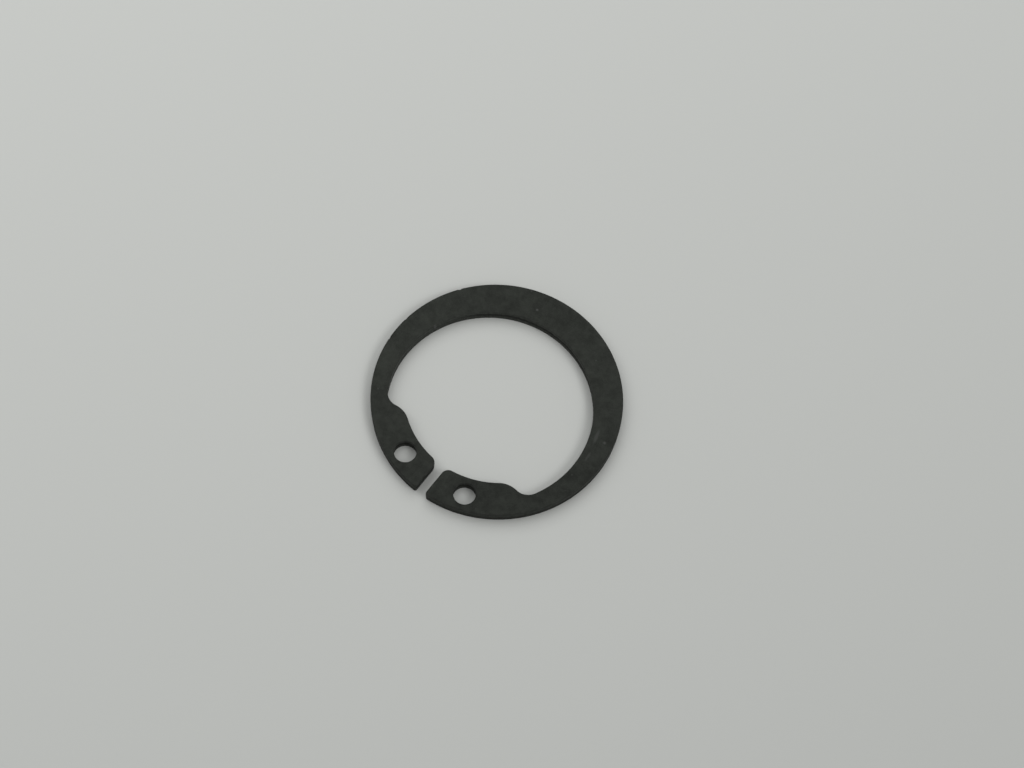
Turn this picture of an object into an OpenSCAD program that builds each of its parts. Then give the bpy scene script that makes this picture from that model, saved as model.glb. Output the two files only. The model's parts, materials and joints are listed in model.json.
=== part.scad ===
// Flat retaining ring for a grooved shaft, with its two plier lugs turned inwards.
// It lies flat: the origin is on the ring's axis at the lower face, +Z is along that axis,
// and the gap between the lugs points to -Y. The ring is stamped, so its upper edges are
// rounded and its lower edges are sharp.

/* [Ring] */
// Outer diameter of the relaxed ring
outer_d = 22.7; // [20:0.1:26]
// Inner diameter of the relaxed ring, as its back sets it
free_d = 16.5; // [14:0.1:18.5]
// Thickness of the plate
thickness = 1.2; // [0.6:0.1:2.5]
// Width that the tapering limbs would reach at the gap
limb_end_w = 1.04; // [0.6:0.02:1.6]
// Radius that stamping leaves along the upper edges
edge_roll = 0.12; // [0.04:0.02:0.18]

/* [Lugs] */
// Width of the gap between the lugs
gap_w = 1; // [0.4:0.1:2.4]
// Diameter of the shaft groove that the lug faces are formed to
groove_d = 17; // [16.5:0.1:19]
// Angle from the middle of the gap to the end of a lug face
lug_angle = 36.6; // [32:0.2:44]
// Radius of the shoulder where a lug face ends
shoulder_r = 2.2; // [1:0.1:2.6]
// Radius of the root between a shoulder and its limb
root_r = 1.4; // [0.8:0.1:2]
// Radius of a lug's corner beside the shaft
inner_tip_r = 0.7; // [0.2:0.1:1]
// Radius of a lug's corner at the outer edge
outer_tip_r = 0.25; // [0.2:0.05:0.8]

/* [Plier holes] */
// Diameter of the plier holes
hole_d = 2; // [1.2:0.1:2.6]
// Steel between a plier hole and the edges of its lug
hole_land = 0.575; // [0.3:0.025:0.9]
// Distance from the end of a lug to the middle of its hole
hole_set = 2.8; // [2:0.05:3.6]

/* [Hidden] */
$fa = 1.5;
$fs = 0.03;

// Arcs that run into each other overlap by this much, so that they cross cleanly
bite = 0.001;

// Cuts go on past both faces of the plate by this much
clear = 0.1;

axis_c = [0, 0];
outer_r = outer_d / 2;
free_r = free_d / 2;
gap_half = gap_w / 2;
lug_w = hole_d + 2 * hole_land;
lug_face_r = outer_r - lug_w;

// Inner edge of the limbs: off centre towards the gap, so the ring is widest at its back
limb_r = (outer_r - limb_end_w + free_r) / 2;
limb_c = [0, free_r - limb_r];

// Lug faces: one arc of the groove's size, set so that the lugs have their width at the gap
face_r = groove_d / 2;
face_c = [0, face_r - lug_face_r];

// Lugs are let into the limbs as far as the middle of the limbs' end width
lug_seat_r = outer_r - limb_end_w / 2;

// Shoulder: rounds off the face's end. Root: rounds from the shoulder into the limb
shoulder_c = from_gap(face_c, face_r + shoulder_r - bite, lug_angle);
root_c = crossing(limb_c, limb_r - root_r + bite, shoulder_c, shoulder_r + root_r - bite);

// Tip corners: each touches the end of the lug and the arc beside it
inner_tip_c = beside_gap(face_c, face_r + inner_tip_r - bite, inner_tip_r);
outer_tip_c = beside_gap(axis_c, outer_r - outer_tip_r + bite, outer_tip_r);

// Plier hole: midway across the lug
hole_r = hole_d / 2;
hole_mid_r = outer_r - lug_w / 2;
hole_x = gap_half + hole_set;
hole_c = [hole_x, -sqrt(hole_mid_r^2 - hole_x^2)];

// Point at a distance from c, turned by an angle from the gap's direction
function from_gap(c, distance, angle) = c + distance * [sin(angle), -cos(angle)];

// Point at a distance from a on the line towards b
function towards(a, b, distance) = a + (b - a) * distance / norm(b - a);

// Centre of a corner of radius r that touches the end of the right lug, at a distance from c
function beside_gap(c, distance, r) =
    let (x = gap_half + r - bite)
    [x, c.y - sqrt(distance^2 - x^2)];

// Crossing of the circles about a and b that lies on the left of the way from a to b
function crossing(a, a_r, b, b_r) =
    let (way = b - a)
    let (span = norm(way))
    let (along = (a_r^2 - b_r^2 + span^2) / (2 * span))
    let (across = sqrt(a_r^2 - along^2))
    a + (way * along + [-way.y, way.x] * across) / span;

// Half section of a cut that reaches r from its middle and flares at the rounded upper edge
module cut_section(r) {
    translate([0, -clear]) square([r, thickness + 2 * clear]);
    translate([0, thickness - edge_roll])
    difference() {
        square([r + edge_roll, edge_roll + clear]);
        translate([r + edge_roll, 0]) circle(r = edge_roll);
    }
}

// Half section of steel that reaches r from its middle, with its upper edge rounded
module steel_section(r, past_faces = 0) {
    translate([0, -past_faces]) {
        square([r, thickness - edge_roll + past_faces]);
        square([r - edge_roll, thickness + 2 * past_faces]);
    }
    intersection() {
        translate([r - edge_roll, thickness - edge_roll]) circle(r = edge_roll);
        square([r, thickness]);
    }
}

// Round cut about c
module round_cut(c, r) {
    translate(c) rotate_extrude() cut_section(r);
}

// Round steel about c that a cut leaves standing
module round_rest(c, r) {
    translate(c) rotate_extrude() steel_section(r, past_faces = clear);
}

// Prism on the outline given as children, past both faces of the plate
module tall_prism() {
    translate([0, 0, -clear]) linear_extrude(thickness + 2 * clear) children();
}

// The children and their mirror image on the left lug
module both_lugs() {
    children();
    mirror([1, 0, 0]) children();
}

// Wedge that both lugs stand in, from the middle of the limbs' inner edge to the roots
module lug_wedge() {
    lug_side = towards(limb_c, root_c, outer_d);
    tall_prism() polygon([
        limb_c,
        lug_side,
        [lug_side.x, -outer_d],
        [-lug_side.x, -outer_d],
        [-lug_side.x, lug_side.y],
    ]);
}

// Ring without lugs: the limbs taper all the way to the gap
module plain_ring() {
    difference() {
        rotate_extrude() steel_section(outer_r);
        round_cut(limb_c, limb_r);
    }
}

// Both lugs, still joined across the gap: the face, and at each side the shoulder and the root
module lugs() {
    difference() {
        intersection() {
            linear_extrude(thickness) circle(r = lug_seat_r);
            lug_wedge();
        }
        round_cut(face_c, face_r);
        both_lugs() {
            round_cut(root_c, root_r);
            difference() {
                tall_prism() polygon([face_c, root_c, shoulder_c]);
                round_rest(shoulder_c, shoulder_r);
            }
        }
    }
}

// Gap between the lugs, with the corners of its two mouths rounded
module gap_cut() {
    rotate([90, 0, 0])
    linear_extrude(outer_d) {
        cut_section(gap_half);
        mirror([1, 0]) cut_section(gap_half);
    }
    both_lugs() {
        difference() {
            tall_prism() polygon([face_c, [0, inner_tip_c.y], inner_tip_c]);
            round_rest(inner_tip_c, inner_tip_r);
        }
        difference() {
            tall_prism() polygon([
                outer_tip_c,
                [0, outer_tip_c.y],
                [0, -outer_d],
                towards(axis_c, outer_tip_c, outer_d),
            ]);
            round_rest(outer_tip_c, outer_tip_r);
        }
    }
}

module circlip() {
    color("#2f312e")
    difference() {
        union() {
            plain_ring();
            lugs();
        }
        gap_cut();
        both_lugs() round_cut(hole_c, hole_r);
    }
}

circlip();
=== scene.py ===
"""Circlip: a stamped and black phosphated retaining ring on a pale floor.

The ring is modelled in millimetres, as on a drawing, and brought to metres when it is whole.
"""

import json
import math

import bmesh
import bpy
from mathutils import Matrix, Vector, noise


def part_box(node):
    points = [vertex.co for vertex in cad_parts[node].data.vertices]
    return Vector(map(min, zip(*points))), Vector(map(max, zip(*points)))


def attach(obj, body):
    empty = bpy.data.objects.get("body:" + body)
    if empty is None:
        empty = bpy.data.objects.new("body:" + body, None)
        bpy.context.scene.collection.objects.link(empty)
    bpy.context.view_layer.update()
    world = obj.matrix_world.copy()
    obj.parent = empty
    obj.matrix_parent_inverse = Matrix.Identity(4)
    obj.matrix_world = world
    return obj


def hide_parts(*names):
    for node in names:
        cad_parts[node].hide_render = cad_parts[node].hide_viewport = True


bl_info = {
    "name": "Circlip",
    "version": (1, 0, 0),
    "blender": (4, 5, 0),
    "location": "3D View > Sidebar > Circlip",
    "description": "Models a stamped retaining ring with inward plier lugs, and its stage",
    "category": "Add Mesh",
}

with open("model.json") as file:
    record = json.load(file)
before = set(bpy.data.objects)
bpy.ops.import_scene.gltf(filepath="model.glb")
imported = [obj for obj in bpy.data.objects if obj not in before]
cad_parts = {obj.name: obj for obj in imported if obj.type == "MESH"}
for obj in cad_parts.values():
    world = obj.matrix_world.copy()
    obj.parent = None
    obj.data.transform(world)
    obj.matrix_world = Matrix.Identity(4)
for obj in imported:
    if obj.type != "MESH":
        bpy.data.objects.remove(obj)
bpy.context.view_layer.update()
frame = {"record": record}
ring_low, ring_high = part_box("circlip")
plier_hole = next(m for m in frame["record"]["mounts"] if m["name"] == "plier_hole_right")

MM = 0.001
SIDEBAR_TAB = "Circlip"

# Nicks in the outer upper edge: angle from +X in degrees, and reach in millimetres
NICKS = ((144.4, 0.19), (173.7, 0.16), (186, 0.18))

# Light marks on the upper face: place and half sizes in millimetres, turn in degrees, strength
MARKS = (
    ((-2.33, 9.22), (0.17, 0.17), 0, 0.85),
    ((10.27, 2.26), (0.19, 0.19), 0, 0.7),
    ((-8.66, 2.22), (0.22, 0.22), 0, 0.8),
    ((9.34, 2.3), (1, 0.22), -75, 0.5),
    ((9.86, 0.26), (0.7, 0.16), -84, 0.35),
)

# Fine scratches: direction in degrees, and how high the grain rises where one shows
SCRATCHES = ((24, 0.70), (-47, 0.71), (78, 0.72))

# Rounded edges: segments of the rounding, and rows of faces beside it in shares of the edge roll
UPPER_EDGE = (6, (1.5, 0.5))
LOWER_EDGE = (2, (1,))

# Line where the walls tore off the die: share by which it rises and falls, and waves to a millimetre
TEAR_WAVES = ((0.16, 0.45), (0.16, 2.6))

# Tears, in millimetres: height over which they begin below that line, and size of their grain
TEAR_START = 0.09
TEAR_GRAIN = 0.13

# Vertices this near the outer edge, in millimetres, are on the outer wall
OUTER_WALL = 0.15

# Dull band on the other walls, in millimetres: distances from the tear line where it ends and where
# it is full, and the stretch along X over which it comes in from the left limb; short of that stretch
# the band is kept thin, which is painted light on the left limb's walls
DULL_BAND = (0.36, 0.06)
DULL_FADE_PAINTED_LIGHT = (-8, -6)

# Heights that differ by less than this, in millimetres, are the same
SAME = 1e-4

# Walls and faces are shaded as one surface up to this angle
SMOOTH_ANGLE = math.radians(50)

# Height of a soft light over its width
PANEL_SHAPE = 0.7


def length(name, description, default):
    """A property that holds a length in metres."""
    return bpy.props.FloatProperty(
        name=name, description=description, default=default, min=0, precision=5, unit="LENGTH"
    )


def angle(name, description, degrees):
    """A property that holds an angle."""
    return bpy.props.FloatProperty(
        name=name, description=description, default=math.radians(degrees), unit="ROTATION"
    )


def share(name, description, default):
    """A property that holds a number from 0 to 1."""
    return bpy.props.FloatProperty(
        name=name, description=description, default=default, min=0, max=1, subtype="FACTOR"
    )


def colour(name, description, default):
    """A property that holds a linear colour."""
    return bpy.props.FloatVectorProperty(
        name=name, description=description, default=default, min=0, max=1, size=3, subtype="COLOR"
    )


def watts(name, description, default):
    """A property that holds a light's power."""
    return bpy.props.FloatProperty(
        name=name, description=description, default=default, min=0, unit="POWER"
    )


class CirclipSizes(bpy.types.PropertyGroup):
    """Sizes of the ring, its lugs and its stamped edges."""

    outer_d: length("Outer diameter", "Diameter of the relaxed ring", ring_high.x - ring_low.x)
    free_d: length("Free diameter", "Inner diameter, as the ring's back sets it", 16.5 * MM)
    thickness: length("Thickness", "Thickness of the plate", ring_high.z - ring_low.z)
    limb_end_w: length("Limb end", "Width that the tapering limbs would reach at the gap", 1.04 * MM)
    gap_w: length("Gap", "Width of the gap between the lugs", 1 * MM)
    groove_d: length("Groove diameter", "Diameter that the lug faces are formed to", 17 * MM)
    lug_w: length("Lug width", "Width of a lug from its face to the outer edge", 3.15 * MM)
    lug_angle: angle("Lug angle", "Angle from the middle of the gap to the end of a lug face", 36.6)
    shoulder_r: length("Shoulder radius", "Radius of the shoulder where a lug face ends", 2.2 * MM)
    root_r: length("Root radius", "Radius of the root between a shoulder and its limb", 1.4 * MM)
    inner_tip_r: length("Inner tip radius", "Radius of a lug's corner beside the shaft", 0.7 * MM)
    outer_tip_r: length("Outer tip radius", "Radius of a lug's corner at the outer edge", 0.25 * MM)
    hole_r: length("Plier hole radius", "Radius of the plier holes", plier_hole["dims"]["r_mm"] * MM)
    hole_x: length("Plier hole offset", "Distance from the middle of the gap", plier_hole["pos_m"][0])
    edge_roll: length("Edge roll", "Radius that stamping leaves along the upper edges", 0.12 * MM)
    edge_break: length("Edge break", "Radius that tumbling leaves along the lower edges", 0.03 * MM)
    torn_z: length("Torn height", "Height up to which the stamped walls are torn", 0.7 * MM)
    torn_draft: length("Torn draft", "How far the torn walls fall back at their foot", 0.03 * MM)
    torn_depth: length("Torn depth", "Depth of the tears in the stamped walls", 0.06 * MM)
    nick_depth: length("Nick depth", "Depth of the nicks in the outer edge", 0.035 * MM)
    mesh_step: length("Mesh step", "Length of the mesh edges along the outline", 0.06 * MM)


class CirclipFinish(bpy.types.PropertyGroup):
    """Colours of the black phosphated steel."""

    face_dark: colour("Dark phosphate", "Coating in its dark patches", (0.0085, 0.0096, 0.0079))
    face_light: colour("Light phosphate", "Coating in its light patches", (0.0305, 0.0339, 0.0288))
    # Painted reflection: the cut wall is painted lighter than the coating, partly burnished steel,
    # partly standing in for its reflection of the floor and lights
    cut_wall_and_painted_reflection: colour("Cut wall", "Smooth upper part of the stamped walls", (0.0455, 0.0490, 0.0428))
    torn_wall: colour("Torn wall", "Torn lower part of the stamped walls", (0.0082, 0.0089, 0.0077))
    rubbed: colour("Rubbed steel", "Where handling has rubbed the coating thin", (0.050, 0.052, 0.049))
    sheen: share("Sheen", "Level of the coating's reflection", 0.09)


class CirclipStage(bpy.types.PropertyGroup):
    """Floor, light and camera."""

    # Painted light: the floor's colour goes from dim to pale towards the near soft light, a painted
    # fall-off of that light
    floor_painted_pale: colour("Pale floor", "Floor towards the near soft light", (0.572, 0.585, 0.564))
    floor_painted_dim: colour("Dim floor", "Floor away from the near soft light", (0.458, 0.469, 0.452))
    floor_painted_fade: length("Floor fade", "Distance over which the floor goes from dim to pale", 0.16)
    floor_w: length("Floor width", "Width of the floor", 3)
    sky: share("Sky", "Light that comes evenly from all round", 0.396)
    key_turn: angle("Key turn", "Direction of the near soft light, from +X", 150)
    key_rise: angle("Key rise", "Elevation of the near soft light over the floor", 66.9)
    key_distance: length("Key distance", "Distance of the near soft light", 0.25)
    key_width: length("Key width", "Width of the near soft light", 0.45)
    key_power: watts("Key power", "Power of the near soft light", 0.537)
    fill_turn: angle("Fill turn", "Direction of the far soft light, from +X", 0)
    fill_rise: angle("Fill rise", "Elevation of the far soft light over the floor", 50)
    fill_distance: length("Fill distance", "Distance of the far soft light", 1.5)
    fill_width: length("Fill width", "Width of the far soft light", 0.75)
    fill_power: watts("Fill power", "Power of the far soft light", 6.71)
    lens: bpy.props.FloatProperty(
        name="Lens", description="Focal length in millimetres", default=85, min=1, unit="CAMERA"
    )
    azimuth: angle("Azimuth", "How far the camera stands round to the right of the gap", 31.87)
    elevation: angle("Elevation", "How high the camera stands over the floor", 65.454)
    roll: angle("Roll", "How far the camera is turned about its own axis", 5.24)
    distance: length("Distance", "Distance from the camera to the ring", 0.218)
    aim_right: length("Aim right", "How far right of the ring's origin the camera aims", 1.381 * MM)
    aim_up: length("Aim up", "How far above the ring's origin the camera aims", 1.676 * MM)


# Ring outline

def point(x, y):
    """A point of the plan, in millimetres."""
    return Vector((x, y, 0))


def clockwise(start, end):
    """Angle from one direction to another, clockwise as seen from above."""
    return (math.atan2(start.y, start.x) - math.atan2(end.y, end.x)) % math.tau


def crossing(a, a_r, b, b_r):
    """Crossing of the circles about a and b that lies on the left of the way from a to b."""
    way = b - a
    span = way.length
    along = (a_r**2 - b_r**2 + span**2) / (2 * span)
    across = math.sqrt(a_r**2 - along**2)
    return a + (way * along + point(-way.y, way.x) * across) / span


class RingPlan:
    """Centres and radii of the outline's arcs, in millimetres."""

    def __init__(self, sizes):
        self.step = sizes.mesh_step / MM
        self.outer_r = sizes.outer_d / 2 / MM
        free_r = sizes.free_d / 2 / MM
        self.gap_half = sizes.gap_w / 2 / MM
        self.limb_r = (self.outer_r - sizes.limb_end_w / MM + free_r) / 2
        self.limb_c = point(0, free_r - self.limb_r)
        self.face_r = sizes.groove_d / 2 / MM
        self.face_c = point(0, self.face_r - (self.outer_r - sizes.lug_w / MM))
        shoulder_r = sizes.shoulder_r / MM
        root_r = sizes.root_r / MM
        face_end = point(math.sin(sizes.lug_angle), -math.cos(sizes.lug_angle))
        self.shoulder_c = self.face_c + (self.face_r + shoulder_r) * face_end
        self.root_c = crossing(self.limb_c, self.limb_r - root_r, self.shoulder_c, shoulder_r + root_r)
        inner_tip_r = sizes.inner_tip_r / MM
        outer_tip_r = sizes.outer_tip_r / MM
        self.inner_tip_c = self.beside_gap(self.face_c, self.face_r + inner_tip_r, inner_tip_r)
        self.outer_tip_c = self.beside_gap(point(0, 0), self.outer_r - outer_tip_r, outer_tip_r)
        self.hole_r = sizes.hole_r / MM
        hole_x = sizes.hole_x / MM
        hole_mid_r = self.outer_r - sizes.lug_w / 2 / MM
        self.hole_c = point(hole_x, -math.sqrt(hole_mid_r**2 - hole_x**2))

    def beside_gap(self, c, distance, r):
        """Centre of a corner of radius r that touches the right lug's end, at a distance from c."""
        x = self.gap_half + r
        return point(x, c.y - math.sqrt(distance**2 - x**2))


def edit_mesh():
    """The mesh that is open in edit mode."""
    return bmesh.from_edit_mesh(bpy.context.edit_object.data)


def sweep_arc(centre, turn, step):
    """Draws on from the selected vertex along an arc, clockwise where the turn is positive."""
    radius = next((v.co - centre).length for v in edit_mesh().verts if v.select)
    steps = max(2, round(abs(turn) * radius / step))
    bpy.ops.mesh.spin(steps=steps, angle=turn, center=centre, axis=(0, 0, 1))


def draw_half_outline(plan):
    """Draws the right half of the outline: the back's outer edge, round the lug, to its inner edge."""
    up = point(0, 1)
    left = point(-1, 0)
    bpy.ops.mesh.select_all(action="SELECT")
    bpy.ops.mesh.merge(type="CENTER")
    bpy.ops.transform.translate(value=up * plan.outer_r)
    sweep_arc(point(0, 0), clockwise(up, plan.outer_tip_c), plan.step)
    sweep_arc(plan.outer_tip_c, clockwise(plan.outer_tip_c, left), plan.step)
    gap_face = plan.inner_tip_c.y - plan.outer_tip_c.y
    gap_steps = round(gap_face / plan.step)
    for _ in range(gap_steps):
        bpy.ops.mesh.extrude_vertices_move(TRANSFORM_OT_translate={"value": up * gap_face / gap_steps})
    sweep_arc(plan.inner_tip_c, clockwise(left, plan.face_c - plan.inner_tip_c), plan.step)
    face_start = plan.inner_tip_c - plan.face_c
    face_end = plan.shoulder_c - plan.face_c
    sweep_arc(plan.face_c, -clockwise(face_end, face_start), plan.step)
    to_root = plan.root_c - plan.shoulder_c
    sweep_arc(plan.shoulder_c, clockwise(-face_end, to_root), plan.step)
    limb_start = plan.root_c - plan.limb_c
    sweep_arc(plan.root_c, -clockwise(limb_start, -to_root), plan.step)
    sweep_arc(plan.limb_c, -clockwise(up, limb_start), plan.step)


# Ring body

def select_only(kind, wanted):
    """Selects the vertices, edges or faces of the open mesh that are wanted, and nothing else."""
    bpy.ops.mesh.select_mode(type=kind)
    bpy.ops.mesh.select_all(action="DESELECT")
    mesh = edit_mesh()
    items = {"VERT": mesh.verts, "EDGE": mesh.edges, "FACE": mesh.faces}[kind]
    for item in items:
        item.select = wanted(item)
    mesh.select_flush_mode()
    bmesh.update_edit_mesh(bpy.context.edit_object.data)


def apply_modifier(ring, kind, name, **settings):
    """Adds a modifier to the ring and applies it."""
    modifier = ring.modifiers.new(name, kind)
    for key, value in settings.items():
        setattr(modifier, key, value)
    bpy.context.view_layer.objects.active = ring
    bpy.ops.object.modifier_apply(modifier=name)


def make_blank(plan, thickness):
    """Makes the stamped blank: the outline, raised to the plate's thickness, divided at the holes."""
    merge = plan.step / 100
    bpy.ops.mesh.primitive_plane_add(size=1)
    blank = bpy.context.object
    bpy.ops.object.mode_set(mode="EDIT")
    bpy.ops.mesh.select_mode(type="VERT")
    draw_half_outline(plan)
    bpy.ops.mesh.select_all(action="SELECT")
    bpy.ops.mesh.symmetrize(direction="POSITIVE_X", threshold=merge)
    bpy.ops.mesh.select_all(action="SELECT")
    bpy.ops.mesh.remove_doubles(threshold=merge)
    bpy.ops.mesh.edge_face_add()
    bpy.ops.mesh.select_all(action="SELECT")
    bpy.ops.mesh.extrude_region_move(TRANSFORM_OT_translate={"value": (0, 0, thickness)})
    for x in (plan.hole_c.x, -plan.hole_c.x):
        bpy.ops.mesh.select_all(action="SELECT")
        bpy.ops.mesh.bisect(plane_co=(x, 0, 0), plane_no=(1, 0, 0))
    bpy.ops.mesh.select_all(action="SELECT")
    bpy.ops.mesh.normals_make_consistent(inside=False)
    bpy.ops.object.mode_set(mode="OBJECT")
    return blank


def punch_holes(ring, plan, thickness):
    """Punches the two plier holes."""
    around = round(math.tau * plan.hole_r / plan.step)
    for side in (1, -1):
        bpy.ops.object.select_all(action="DESELECT")
        bpy.ops.mesh.primitive_cylinder_add(
            vertices=around,
            radius=plan.hole_r,
            depth=3 * thickness,
            location=(side * plan.hole_c.x, plan.hole_c.y, thickness / 2),
        )
        punch = bpy.context.object
        apply_modifier(
            ring, "BOOLEAN", "Plier hole", object=punch, operation="DIFFERENCE", solver="EXACT"
        )
        bpy.ops.object.select_all(action="DESELECT")
        punch.select_set(True)
        bpy.ops.object.delete()


def is_flat(face, z):
    """Whether a face is part of the flat face at a height."""
    return abs(face.normal.z) > 0.5 and abs(face.calc_center_median().z - z) < SAME


def is_rim(edge, z):
    """Whether an edge runs between a wall and the flat face at a height."""
    if len(edge.link_faces) != 2 or any(abs(v.co.z - z) > SAME for v in edge.verts):
        return False
    upright = sorted(abs(f.normal.z) for f in edge.link_faces)
    return upright[0] < 0.5 < upright[1]


def taper_torn_walls(torn_z, draft):
    """Draws the foot of the walls back, up to the height where the plate tore off the die."""
    select_only("FACE", lambda f: f.normal.z < -0.5)
    bpy.ops.mesh.inset(thickness=draft, use_boundary=True, use_even_offset=True)
    select_only("EDGE", lambda e: is_rim(e, 0))
    bpy.ops.transform.translate(value=(0, 0, torn_z))


def round_edges(thickness, roll, edge_break):
    """Rounds the upper edges as stamping does, and breaks the lower ones as tumbling does."""
    edges = ((thickness, roll, *UPPER_EDGE), (0, edge_break, *LOWER_EDGE))
    for z, radius, segments, rows in edges:
        select_only("FACE", lambda f: is_flat(f, z))
        for row in rows:
            bpy.ops.mesh.inset(thickness=row * roll, use_boundary=True, use_even_offset=True)
        select_only("EDGE", lambda e: is_rim(e, z))
        bpy.ops.mesh.bevel(
            offset=radius, segments=segments, profile=0.5, affect="EDGES", clamp_overlap=False
        )


def cut_rows(heights):
    """Cuts the walls into rows at the given heights."""
    for z in heights:
        bpy.ops.mesh.select_all(action="SELECT")
        bpy.ops.mesh.bisect(plane_co=(0, 0, z), plane_no=(0, 0, 1))


def nick_edge(outer_r, thickness, turn, depth, reach):
    """Dents the outer upper edge at an angle from +X."""
    out = point(math.cos(turn), math.sin(turn))
    place = out * outer_r + Vector((0, 0, thickness))
    bpy.ops.mesh.select_mode(type="VERT")
    bpy.ops.mesh.select_all(action="DESELECT")
    nearest = min(edit_mesh().verts, key=lambda v: (v.co - place).length)
    nearest.select = True
    edit_mesh().select_flush_mode()
    push = (Vector((0, 0, -1)) - out) * depth
    bpy.ops.transform.translate(
        value=push,
        use_proportional_edit=True,
        proportional_edit_falloff="SPHERE",
        proportional_size=reach,
    )


def ease(value, low, high):
    """Smooth step from 0 at low to 1 at high."""
    t = min(1, max(0, (value - low) / (high - low)))
    return t * t * (3 - 2 * t)


def tear_line(v, torn_z):
    """Height of the uneven line at which the wall by a vertex tore off the die."""
    plan = point(v.co.x, v.co.y)
    rise = sum(spread * noise.noise(plan * waves) for spread, waves in TEAR_WAVES)
    return torn_z * (1 + rise)


def torn_share(v, torn_z):
    """How torn the stamped wall is at a vertex: up to the tear line, and not on the flat faces."""
    if abs(v.normal.z) > 0.6:
        return 0
    return min(1, max(0, (tear_line(v, torn_z) - v.co.z) / TEAR_START))


def dull_share_and_painted_light(v, torn_z, outer_r):
    """How dull the stamped wall is at a vertex: evenly at the outer edge, else by the tear line,
    thinned towards the left limb as painted light on those walls.
    """
    if abs(v.normal.z) > 0.95:
        return 0
    if point(v.co.x, v.co.y).length > outer_r - OUTER_WALL:
        return 0.45 + 0.25 * torn_share(v, torn_z)
    band = ease(abs(v.co.z - tear_line(v, torn_z)), *DULL_BAND)
    # Painted light: the dull band fades towards the left limb, so those walls show lighter
    return band * (0.3 + 0.7 * ease(v.co.x, *DULL_FADE_PAINTED_LIGHT))


def tear_walls(ring, outer_r, torn_z, depth):
    """Roughens the lower part of the walls."""
    torn = [torn_share(v, torn_z) for v in ring.data.vertices]
    # The dull share also carries painted light on the left limb's walls
    dull = [dull_share_and_painted_light(v, torn_z, outer_r) for v in ring.data.vertices]
    group = ring.vertex_groups.new(name="torn")
    for index, weight in enumerate(torn):
        group.add([index], weight, "REPLACE")
    attribute = ring.data.attributes.new("dull_wall", "FLOAT", "POINT")
    attribute.data.foreach_set("value", dull)
    tears = bpy.data.textures.new("Tears", "CLOUDS")
    tears.noise_scale = TEAR_GRAIN
    tears.noise_depth = 2
    apply_modifier(
        ring,
        "DISPLACE",
        "Tears",
        texture=tears,
        texture_coords="LOCAL",
        direction="NORMAL",
        vertex_group="torn",
        mid_level=0.6,
        strength=depth,
    )


# Phosphated steel

class Coating:
    """Adds nodes to a material, with places in millimetres, and joins them."""

    def __init__(self, name):
        self.material = bpy.data.materials.new(name)
        self.material.use_nodes = True
        self.tree = self.material.node_tree
        self.shader = self.tree.nodes["Principled BSDF"]
        self.place = self.tree.nodes.new("ShaderNodeTexCoord").outputs["Object"]

    def join(self, value, socket):
        """Links a value to a socket, or writes it there where it is constant."""
        if isinstance(value, bpy.types.NodeSocket):
            self.tree.links.new(value, socket)
        else:
            socket.default_value = value

    def plan(self, scale=(1, 1, 1), turn=0, start=(0, 0, 0)):
        """Places in millimetres from a start, turned about it and then stretched."""
        node = self.tree.nodes.new("ShaderNodeMapping")
        node.vector_type = "TEXTURE"
        node.inputs["Location"].default_value = [MM * c for c in start]
        node.inputs["Rotation"].default_value = (0, 0, turn)
        node.inputs["Scale"].default_value = [MM / s for s in scale]
        self.join(self.place, node.inputs["Vector"])
        return node.outputs["Vector"]

    def grain(self, plan, scale, detail, rough=0.6):
        """Fractal noise."""
        node = self.tree.nodes.new("ShaderNodeTexNoise")
        node.inputs["Scale"].default_value = scale
        node.inputs["Detail"].default_value = detail
        node.inputs["Roughness"].default_value = rough
        self.join(plan, node.inputs["Vector"])
        return node.outputs["Fac"]

    def remap(self, value, low, high, out_low=0.0, out_high=1.0, step="SMOOTHSTEP"):
        """Step from one range to another."""
        node = self.tree.nodes.new("ShaderNodeMapRange")
        node.interpolation_type = step
        limits = (value, low, high, out_low, out_high)
        for socket, limit in zip(node.inputs, limits):
            self.join(limit, socket)
        return node.outputs["Result"]

    def sums(self, operation, *values):
        """Chains one operation over all the values."""
        total = values[0]
        for value in values[1:]:
            node = self.tree.nodes.new("ShaderNodeMath")
            node.operation = operation
            self.join(total, node.inputs[0])
            self.join(value, node.inputs[1])
            total = node.outputs["Value"]
        return total

    def blend(self, fac, a, b):
        """Mix of two colours."""
        node = self.tree.nodes.new("ShaderNodeMix")
        node.data_type = "RGBA"
        colours = [s for s in node.inputs if s.type == "RGBA"]
        self.join(fac, node.inputs["Factor"])
        for socket, value in zip(colours, (a, b)):
            self.join(value if isinstance(value, bpy.types.NodeSocket) else (*value, 1), socket)
        return next(s for s in node.outputs if s.type == "RGBA")

    def bump(self, height, strength, depth, under=None):
        """Relief of a depth in millimetres, on top of another relief."""
        node = self.tree.nodes.new("ShaderNodeBump")
        node.inputs["Strength"].default_value = strength
        node.inputs["Distance"].default_value = depth * MM
        self.join(height, node.inputs["Height"])
        if under:
            self.join(under, node.inputs["Normal"])
        return node.outputs["Normal"]


def scratches(coating):
    """Fine straight scratches in three directions, in scattered patches."""
    plan = coating.plan()
    lines = []
    for degrees, low in SCRATCHES:
        stretched = coating.plan((0.3, 14, 1), math.radians(degrees))
        lines.append(coating.remap(coating.grain(stretched, 1, 2, 0.5), low, low + 0.06))
    patches = coating.remap(coating.grain(plan, 0.5, 2), 0.45, 0.62)
    return coating.sums("MULTIPLY", coating.sums("MAXIMUM", *lines), patches)


def specks(coating):
    """Small bright specks, one every few square millimetres."""
    cells = coating.tree.nodes.new("ShaderNodeTexVoronoi")
    cells.inputs["Scale"].default_value = 0.8
    coating.join(coating.plan(), cells.inputs["Vector"])
    chosen = coating.tree.nodes.new("ShaderNodeSeparateColor")
    coating.join(cells.outputs["Color"], chosen.inputs["Color"])
    dots = coating.remap(cells.outputs["Distance"], 0.05, 0.09, 1, 0)
    return coating.sums("MULTIPLY", dots, coating.remap(chosen.outputs["Red"], 0.6, 0.9, 0, 0.5))


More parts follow.
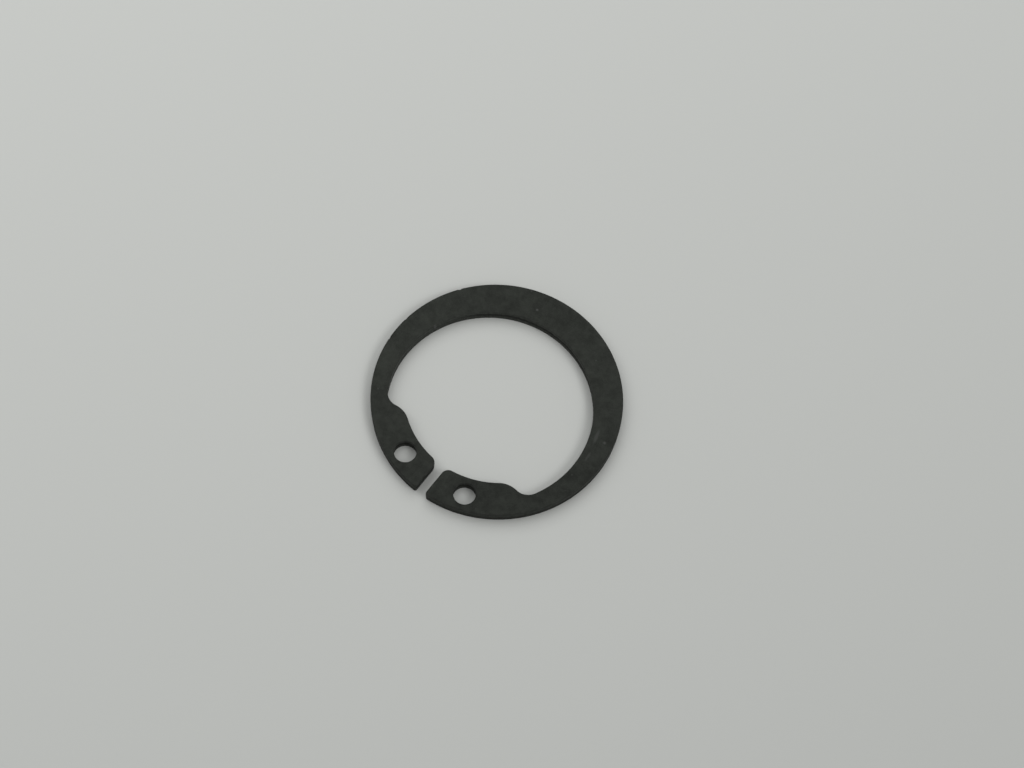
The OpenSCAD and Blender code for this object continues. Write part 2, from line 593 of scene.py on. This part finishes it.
def light_marks(coating, thickness):
    """The marks that stand alone on the upper face, where the coating is chipped or rubbed."""
    spots = []
    for place, (half_length, half_width), degrees, strength in MARKS:
        stretch = (1 / half_length, 1 / half_width, 1)
        spot = coating.plan(stretch, math.radians(degrees), (*place, thickness))
        reach = coating.tree.nodes.new("ShaderNodeVectorMath")
        reach.operation = "LENGTH"
        coating.join(spot, reach.inputs[0])
        spots.append(coating.remap(reach.outputs["Value"], 0.3, 1, strength, 0))
    return coating.sums("MAXIMUM", *spots)


def phosphated_steel(finish, thickness):
    """The black phosphate coating: mottled and finely grained on the faces, rubbed on the edges, with
    painted shade towards the right lug, a painted reflection on the cut walls and painted light on the
    left limb's walls.
    """
    coating = Coating("Phosphated steel")
    plan = coating.plan()
    shader = coating.shader
    shader.inputs["Specular IOR Level"].default_value = finish.sheen

    # Faces: broad tone, patches and crystals, and painted shade that darkens the face towards the
    # right lug
    broad = coating.remap(coating.grain(plan, 0.2, 3), 0.3, 0.7, 0, 0.25)
    patches = coating.remap(coating.grain(plan, 1.1, 5, 0.7), 0.3, 0.7, 0, 0.45)
    crystals = coating.remap(coating.grain(plan, 9, 4, 0.75), 0.3, 0.7, 0, 0.3)
    across = coating.tree.nodes.new("ShaderNodeSeparateXYZ")
    coating.join(coating.plan(turn=math.radians(135)), across.inputs["Vector"])
    # Painted shade: the face is made darker towards the right lug
    painted_shade_lean = coating.remap(across.outputs["X"], -9, -4, -0.15, 0.05)
    light = coating.sums("ADD", broad, patches, crystals, painted_shade_lean)
    face = coating.blend(light, finish.face_dark, finish.face_light)

    # Walls: drawn down where they were cut, pitted where they are dull; the cut walls' light colour is
    # partly a painted reflection, and the dull band's fade towards the left limb paints light on those
    # walls
    surface = coating.tree.nodes.new("ShaderNodeNewGeometry")
    split = coating.tree.nodes.new("ShaderNodeSeparateXYZ")
    coating.join(surface.outputs["Normal"], split.inputs["Vector"])
    upright = coating.sums("ABSOLUTE", split.outputs["Z"], 0)
    wall = coating.remap(upright, 0.2, 0.9, 1, 0)
    # The dull attribute carries real dullness and painted light on the left limb's walls
    dull_and_painted_light_node = coating.tree.nodes.new("ShaderNodeAttribute")
    dull_and_painted_light_node.attribute_name = "dull_wall"
    dull = dull_and_painted_light_node.outputs["Fac"]
    drawn = coating.grain(coating.plan((9, 9, 0.5)), 1, 3)
    streaks = coating.remap(drawn, 0.3, 0.7, 0, 0.5)
    # Painted reflection: the cut wall's lighter colour stands in for the burnished steel's reflection
    cut_wall_and_painted_reflection = coating.blend(streaks, finish.cut_wall_and_painted_reflection, finish.torn_wall)
    pits = coating.remap(coating.grain(plan, 7, 4, 0.7), 0.35, 0.65)
    torn_wall = coating.blend(coating.sums("MULTIPLY", pits, 0.25), finish.torn_wall, finish.cut_wall_and_painted_reflection)
    stamped = coating.blend(dull, cut_wall_and_painted_reflection, torn_wall)
    base = coating.blend(wall, face, stamped)

    # Wear: rubbed edges, scratches, specks and light marks
    over_wall = coating.remap(upright, 0.15, 0.6)
    below_face = coating.remap(upright, 0.93, 0.999, 1, 0)
    rubs = coating.remap(coating.grain(plan, 1.7, 5, 0.7), 0.42, 0.66, 0.03, 0.35)
    worn = coating.sums("MULTIPLY", over_wall, below_face, rubs)
    scored = coating.sums("MULTIPLY", scratches(coating), coating.sums("SUBTRACT", 1, wall), 0.4)
    rubbed = coating.sums("MAXIMUM", worn, scored, specks(coating), light_marks(coating, thickness))
    coating.join(coating.blend(rubbed, base, finish.rubbed), shader.inputs["Base Color"])

    # Gloss and relief
    matte = coating.remap(coating.grain(plan, 2.6, 5), 0.3, 0.7, 0.47, 0.62)
    matte = coating.sums("ADD", matte, coating.sums("MULTIPLY", dull, 0.15))
    matte = coating.sums("SUBTRACT", matte, coating.sums("MULTIPLY", rubbed, 0.2))
    coating.join(matte, shader.inputs["Roughness"])
    relief = coating.bump(coating.grain(plan, 14, 5, 0.75), 0.5, 0.008)
    relief = coating.bump(coating.grain(plan, 2.2, 3), 0.4, 0.02, relief)
    relief = coating.bump(coating.sums("MULTIPLY", drawn, wall), 0.5, 0.012, relief)
    coating.join(relief, shader.inputs["Normal"])
    return coating.material


class OBJECT_OT_circlip_ring(bpy.types.Operator):
    """Model the stamped ring in place of the CAD node"""

    bl_idname = "object.circlip_ring"
    bl_label = "Ring"
    bl_options = {"REGISTER", "UNDO"}

    def execute(self, context):
        sizes = context.scene.circlip_sizes
        plan = RingPlan(sizes)
        thickness = sizes.thickness / MM
        bpy.ops.object.select_all(action="DESELECT")
        ring = make_blank(plan, thickness)
        ring.name = "ring"
        ring.data.name = "ring"
        punch_holes(ring, plan, thickness)
        bpy.ops.object.select_all(action="DESELECT")
        ring.select_set(True)
        context.view_layer.objects.active = ring
        bpy.ops.object.mode_set(mode="EDIT")
        taper_torn_walls(sizes.torn_z / MM, sizes.torn_draft / MM)
        round_edges(thickness, sizes.edge_roll / MM, sizes.edge_break / MM)
        row_top = thickness - sizes.edge_roll / MM
        rows = int((row_top - sizes.edge_break / MM) / plan.step)
        cut_rows(row_top - plan.step * (k + 1) for k in range(rows - 1))
        for degrees, reach in NICKS:
            nick_edge(plan.outer_r, thickness, math.radians(degrees), sizes.nick_depth / MM, reach)
        bpy.ops.object.mode_set(mode="OBJECT")
        tear_walls(ring, plan.outer_r, sizes.torn_z / MM, sizes.torn_depth / MM)
        bpy.ops.object.mode_set(mode="EDIT")
        bpy.ops.mesh.select_all(action="SELECT")
        bpy.ops.transform.resize(value=(MM,) * 3, center_override=(0, 0, 0))
        bpy.ops.mesh.normals_make_consistent(inside=False)
        bpy.ops.object.mode_set(mode="OBJECT")
        bpy.ops.object.shade_smooth_by_angle(angle=SMOOTH_ANGLE)
        ring.data.materials.append(phosphated_steel(context.scene.circlip_finish, thickness))
        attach(ring, "root")
        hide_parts("circlip")
        return {"FINISHED"}


# Stage

def pale_floor(stage):
    """The floor's plain sheet, painted a little paler towards the near soft light: painted light
    standing in for that lamp's fall-off.
    """
    sheet = Coating("Pale sheet")
    sheet.shader.inputs["Specular IOR Level"].default_value = 0.0
    sheet.shader.inputs["Roughness"].default_value = 0.8
    split = sheet.tree.nodes.new("ShaderNodeSeparateXYZ")
    sheet.join(sheet.plan(turn=stage.key_turn), split.inputs["Vector"])
    half = stage.floor_painted_fade / MM / 2
    # Painted light: the floor's colour fades from dim to pale towards the near soft light
    fade = sheet.remap(split.outputs["X"], -half, half, 0.0, 1.0, "LINEAR")
    sheet.join(sheet.blend(fade, stage.floor_painted_dim, stage.floor_painted_pale), sheet.shader.inputs["Base Color"])
    return sheet.material


def even_sky(stage):
    """World light: even for the scene, and as pale as the floor where it is seen or reflected."""
    world = bpy.data.worlds.new("Even sky")
    bpy.context.scene.world = world
    world.use_nodes = True
    tree = world.node_tree
    tree.nodes.clear()
    path = tree.nodes.new("ShaderNodeLightPath")
    light = tree.nodes.new("ShaderNodeBackground")
    light.inputs["Strength"].default_value = stage.sky
    seen = tree.nodes.new("ShaderNodeBackground")
    seen.inputs["Color"].default_value = (*stage.floor_painted_pale, 1)
    either = tree.nodes.new("ShaderNodeMath")
    either.operation = "MAXIMUM"
    tree.links.new(path.outputs["Is Camera Ray"], either.inputs[0])
    tree.links.new(path.outputs["Is Glossy Ray"], either.inputs[1])
    mix = tree.nodes.new("ShaderNodeMixShader")
    tree.links.new(either.outputs["Value"], mix.inputs["Fac"])
    tree.links.new(light.outputs["Background"], mix.inputs[1])
    tree.links.new(seen.outputs["Background"], mix.inputs[2])
    out = tree.nodes.new("ShaderNodeOutputWorld")
    tree.links.new(mix.outputs["Shader"], out.inputs["Surface"])


def soft_panel(name, rise, turn, distance, width, power):
    """A soft light that faces the ring from a distance."""
    level = math.cos(rise)
    place = Vector((math.cos(turn) * level, math.sin(turn) * level, math.sin(rise))) * distance
    facing = place.to_track_quat("Z", "Y").to_euler()
    bpy.ops.object.light_add(type="AREA", location=place, rotation=facing)
    panel = bpy.context.object
    panel.name = name
    panel.data.shape = "RECTANGLE"
    panel.data.size = width
    panel.data.size_y = width * PANEL_SHAPE
    panel.data.energy = power


def add_camera(stage):
    """The camera at the photograph's viewing angle."""
    level = math.cos(stage.elevation)
    right = Vector((math.cos(stage.azimuth), math.sin(stage.azimuth), 0))
    back = Vector((right.y * level, -right.x * level, math.sin(stage.elevation)))
    level_view = Matrix((right, back.cross(right), back)).transposed()
    turned = level_view @ Matrix.Rotation(stage.roll, 3, "Z")
    eye = turned @ Vector((stage.aim_right, stage.aim_up, stage.distance))
    bpy.ops.object.camera_add(location=eye, rotation=turned.to_euler())
    camera = bpy.context.object
    camera.name = "camera"
    camera.data.lens = stage.lens
    camera.data.clip_start = stage.distance / 100
    camera.data.clip_end = stage.floor_w * 4
    bpy.context.scene.camera = camera


class OBJECT_OT_circlip_stage(bpy.types.Operator):
    """Set up the floor, the light and the camera"""

    bl_idname = "object.circlip_stage"
    bl_label = "Stage"
    bl_options = {"REGISTER", "UNDO"}

    def execute(self, context):
        stage = context.scene.circlip_stage
        bpy.ops.object.select_all(action="DESELECT")
        bpy.ops.mesh.primitive_plane_add(size=stage.floor_w)
        floor = context.object
        floor.name = "floor"
        floor.data.materials.append(pale_floor(stage))
        even_sky(stage)
        for name in ("key", "fill"):
            settings = {
                setting: getattr(stage, f"{name}_{setting}")
                for setting in ("rise", "turn", "distance", "width", "power")
            }
            soft_panel(name, **settings)
        add_camera(stage)
        context.scene.view_settings.view_transform = "Standard"
        return {"FINISHED"}


class VIEW3D_PT_circlip(bpy.types.Panel):
    """Sizes, finish and stage of the circlip"""

    bl_label = "Circlip"
    bl_space_type = "VIEW_3D"
    bl_region_type = "UI"
    bl_category = SIDEBAR_TAB

    def draw(self, context):
        layout = self.layout
        layout.use_property_split = True
        for group, operator in (
            (context.scene.circlip_sizes, OBJECT_OT_circlip_ring),
            (context.scene.circlip_finish, None),
            (context.scene.circlip_stage, OBJECT_OT_circlip_stage),
        ):
            column = layout.column()
            for name in type(group).__annotations__:
                column.prop(group, name)
            if operator:
                layout.operator(operator.bl_idname)


classes = (
    CirclipSizes,
    CirclipFinish,
    CirclipStage,
    OBJECT_OT_circlip_ring,
    OBJECT_OT_circlip_stage,
    VIEW3D_PT_circlip,
)


def register():
    """Makes the classes and the scene's settings known to Blender."""
    for cls in classes:
        bpy.utils.register_class(cls)
    bpy.types.Scene.circlip_sizes = bpy.props.PointerProperty(type=CirclipSizes)
    bpy.types.Scene.circlip_finish = bpy.props.PointerProperty(type=CirclipFinish)
    bpy.types.Scene.circlip_stage = bpy.props.PointerProperty(type=CirclipStage)


def unregister():
    """Takes the settings and the classes out again."""
    del bpy.types.Scene.circlip_stage
    del bpy.types.Scene.circlip_finish
    del bpy.types.Scene.circlip_sizes
    for cls in reversed(classes):
        bpy.utils.unregister_class(cls)


def main():
    """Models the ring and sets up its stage."""
    register()
    bpy.ops.object.circlip_ring()
    bpy.ops.object.circlip_stage()


if __name__ == "__main__":
    main()
